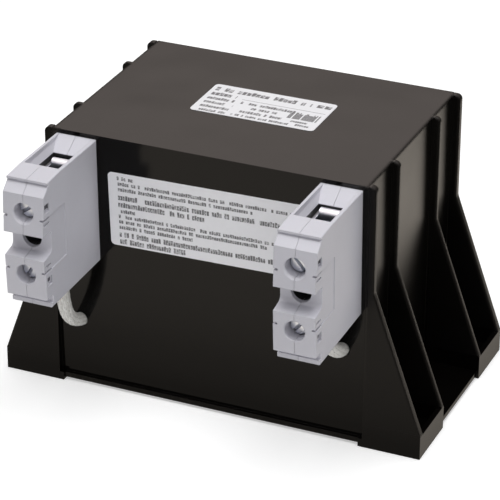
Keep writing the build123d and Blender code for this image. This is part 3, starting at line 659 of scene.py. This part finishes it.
# %% Yarn
yarn = Finish("glass_yarn", IOR=1.5)
shade = yarn.node("Attribute", {"attribute_name": "shade"}, output="Fac")
strand_noise = yarn.noise(yarn.place(), 900.0, 3.0, 0.6)
fuzz = yarn.noise(yarn.place(), 6000.0, 2.0)
tone = shade * 0.7 + strand_noise * 0.3
yarn.set(Base_Color=yarn.mix(tone, (0.70, 0.69, 0.65), (0.98, 0.97, 0.94)))
yarn.set(Roughness=0.62 + fuzz * 0.15, Normal=yarn.bump(fuzz, 0.05 * MM, 0.6))

# %% [markdown]
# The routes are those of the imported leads, in millimetres: from the winding, through the front
# wall, and up into the lower clamp of each block. The left lead leaves the wall lower than the
# right one.

# %% Both sleeves
LEFT_ROUTE = [
    (-42.07, -37.0, 38.53), (-66.2, -37.08, 28.5), (-65.2, -62.56, 36.2), (-64.0, -73.77, 53.02),
    (-64.0, -74.3, 75.11),
]
RIGHT_ROUTE = [
    (42.07, -35.0, 46.53), (61.0, -37.11, 42.5), (67.0, -61.17, 49.0), (64.0, -73.95, 60.52),
    (64.0, -74.3, 75.11),
]
LEFT_REFERENCE = np.array([0.5, 0.3, -0.8])
RIGHT_REFERENCE = np.array([-0.5, 0.3, -0.8])
LINE_STEP = 2.0 * MM

for side, route, reference in (
    ("left", LEFT_ROUTE, LEFT_REFERENCE), ("right", RIGHT_ROUTE, RIGHT_REFERENCE),
):
    sleeve = woven_sleeve(f"{side}_woven_sleeve", route, reference)
    yarn.wear(sleeve)
    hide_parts(f"{side}_lead_sleeve")
    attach(sleeve, "root")
    middle, _, along = lead_middle(f"{side}_lead_line", route, LINE_STEP)

# %% [markdown]
# The part stands on a wide pale floor. What the camera sees of it is white, with the part's
# soft shadow. The housing is a dark mirror, so what it reflects matters more than the lamps:
# its walls show the floor. For the rays that the gloss sends out, the floor glows with a
# painted reflection instead of its lit colour: a painted shadow, darkest at the feet, where the
# part keeps the light off it, painted light brighter to both sides towards the back, and dark
# again where the paper of the studio ends. Lamps could light the floor that way, but they would
# wash out the grey blocks, so the floor has this painted tone for the rays that the gloss sends
# out and another, plain one for all others. Light Path tells them apart.

# %% Floor
FLOOR_HALF = 4.0
FEET_HALF_X = 101.0 * MM
FEET_HALF_Y = 64.0 * MM
REFLECTED_WHITE = (1.79, 1.62, 1.42)
NEAR_REACH = 120.0 * MM
PAINTED_SHADOW_TONES = [
    (0.0, 0.38), (0.08, 0.46), (0.12, 0.50), (0.26, 0.59),
    (0.39, 0.71), (0.53, 0.81), (0.67, 0.89), (1.0, 0.98),
]
AWAY_START, AWAY_FADE = 370.0 * MM, 60.0 * MM
ASIDE_START, ASIDE_FADE = 198.0 * MM, 30.0 * MM
LIT_START, LIT_FADE = 12.0 * MM, 30.0 * MM
LIT_FRONT, LIT_DEPTH = -30.0 * MM, 60.0 * MM

floor_mesh = bpy.data.meshes.new("floor")
floor_mesh.from_pydata(
    [(-FLOOR_HALF, -FLOOR_HALF, -0.2 * MM), (FLOOR_HALF, -FLOOR_HALF, -0.2 * MM),
     (FLOOR_HALF, FLOOR_HALF, -0.2 * MM), (-FLOOR_HALF, FLOOR_HALF, -0.2 * MM)],
    [], [(0, 1, 2, 3)],
)
floor = bpy.data.objects.new("floor", floor_mesh)
scene.collection.objects.link(floor)
pale = Finish("pale_floor", Roughness=0.9, Emission_Strength=1.0)
pale.shader.inputs["Specular IOR Level"].default_value = 0.0
x, y, _ = pale.parts(pale.place())
beside, before = abs(x) - FEET_HALF_X, abs(y) - FEET_HALF_Y
gap = (beside.most(0.0) * beside.most(0.0) + before.most(0.0) * before.most(0.0)).root()
# Painted shadow: the tone of the reflected floor is darkest at the feet.
near = pale.node("ValToRGB", {"stops": PAINTED_SHADOW_TONES}, {"Fac": gap / NEAR_REACH}, output="Color")
away = ((x * x + y * y).root() - AWAY_START) / AWAY_FADE
aside = (abs(x) - ASIDE_START) / ASIDE_FADE
# Painted light: the reflected floor is brighter to both sides towards the back, and far away it
# fades dark.
lit = ((beside - LIT_START) / LIT_FADE).clamped() * ((y - LIT_FRONT) / LIT_DEPTH).clamped()
tone = near * (0.75 + lit * 0.25) * (1.0 - away.most(aside).clamped() * 0.93)
rays = pale.node("LightPath", output="Is Camera Ray")
glossy_ray = rays.other("Is Glossy Ray")
# The painted reflection: a glow that only the glossy rays see.
painted_reflection = pale.mix(tone * glossy_ray, (0.0, 0.0, 0.0), REFLECTED_WHITE)
pale.set(Base_Color=pale.mix(glossy_ray, (0.80, 0.80, 0.80), (0.0, 0.0, 0.0)))
pale.set(Emission_Color=pale.mix(rays, painted_reflection, (0.42, 0.42, 0.42)))
pale.wear(floor)

# %% [markdown]
# The room round the part is white as well, and a plain white world would do for the camera. As
# light it would be too flat, so the world gives only a little of it, and the lamps give the
# rest. In the gloss the room is white above and below, with a dark band low behind the part,
# which shows in the rounded long edges of the housing.

# %% Sky
world = bpy.data.worlds.new("studio")
scene.world = world
world.use_nodes = True
sky = Paint(world.node_tree)
background = world.node_tree.nodes["Background"]
direction = sky.node("TexCoord", output="Generated")
_, _, height = sky.parts(direction)
band = sky.node("ValToRGB", {"stops": [
    (0.0, (1.0, 0.9, 0.79)), (0.02, (0.10, 0.09, 0.08)), (0.30, (0.12, 0.11, 0.10)),
    (0.42, (1.30, 1.14, 1.06)), (1.0, (1.30, 1.14, 1.06)),
]}, {"Fac": height}, output="Color")
rays = sky.node("LightPath", output="Is Camera Ray")
glossy_ray = rays.other("Is Glossy Ray")
AMBIENT = 0.25
seen = sky.mix(glossy_ray, (AMBIENT, AMBIENT, AMBIENT), band)
sky.feed(background.inputs["Color"], sky.mix(rays, seen, (1.0, 1.0, 1.0)))
background.inputs["Strength"].default_value = 1.0
print("sky of", len(sky.tree.nodes), "nodes")

# %% [markdown]
# The photograph was lit from above through something wide and soft. One large soft box
# overhead gives nearly all of the light, so the tops of the blocks are pale, their fronts
# darker and the notches darkest. A sun lamp would give hard shadows. Two weak boxes in front
# open the shadows. An area lamp of P watts lights a surface that faces it at a distance d with
# P / (pi d)^2 of full white, so each box is given by that level.


# %% Soft boxes
PART_MIDDLE = (0.0, -0.02, 0.06)


def soft_box(name, place, size, level):
    """Square area lamp aimed at the middle of the part. Its power is level (pi d)^2, which
    gives a white surface that faces it that share of full brightness."""
    target = Vector(PART_MIDDLE)
    place = Vector(place)
    distance = (place - target).length
    lamp = bpy.data.lights.new(name, "AREA")
    lamp.shape = "SQUARE"
    lamp.size = size
    lamp.energy = level * (math.pi * distance) ** 2
    made = bpy.data.objects.new(name, lamp)
    made.location = place
    made.rotation_euler = (target - place).to_track_quat("-Z", "Y").to_euler()
    scene.collection.objects.link(made)
    print(name, "power", round(lamp.energy, 1), "W")


soft_box("overhead_box", (0.2, -0.3, 2.2), 1.8, 0.87)
soft_box("front_right_box", (1.2, -1.3, 0.9), 1.1, 0.06)
soft_box("front_left_box", (-1.7, -1.6, 0.9), 1.2, 0.03)
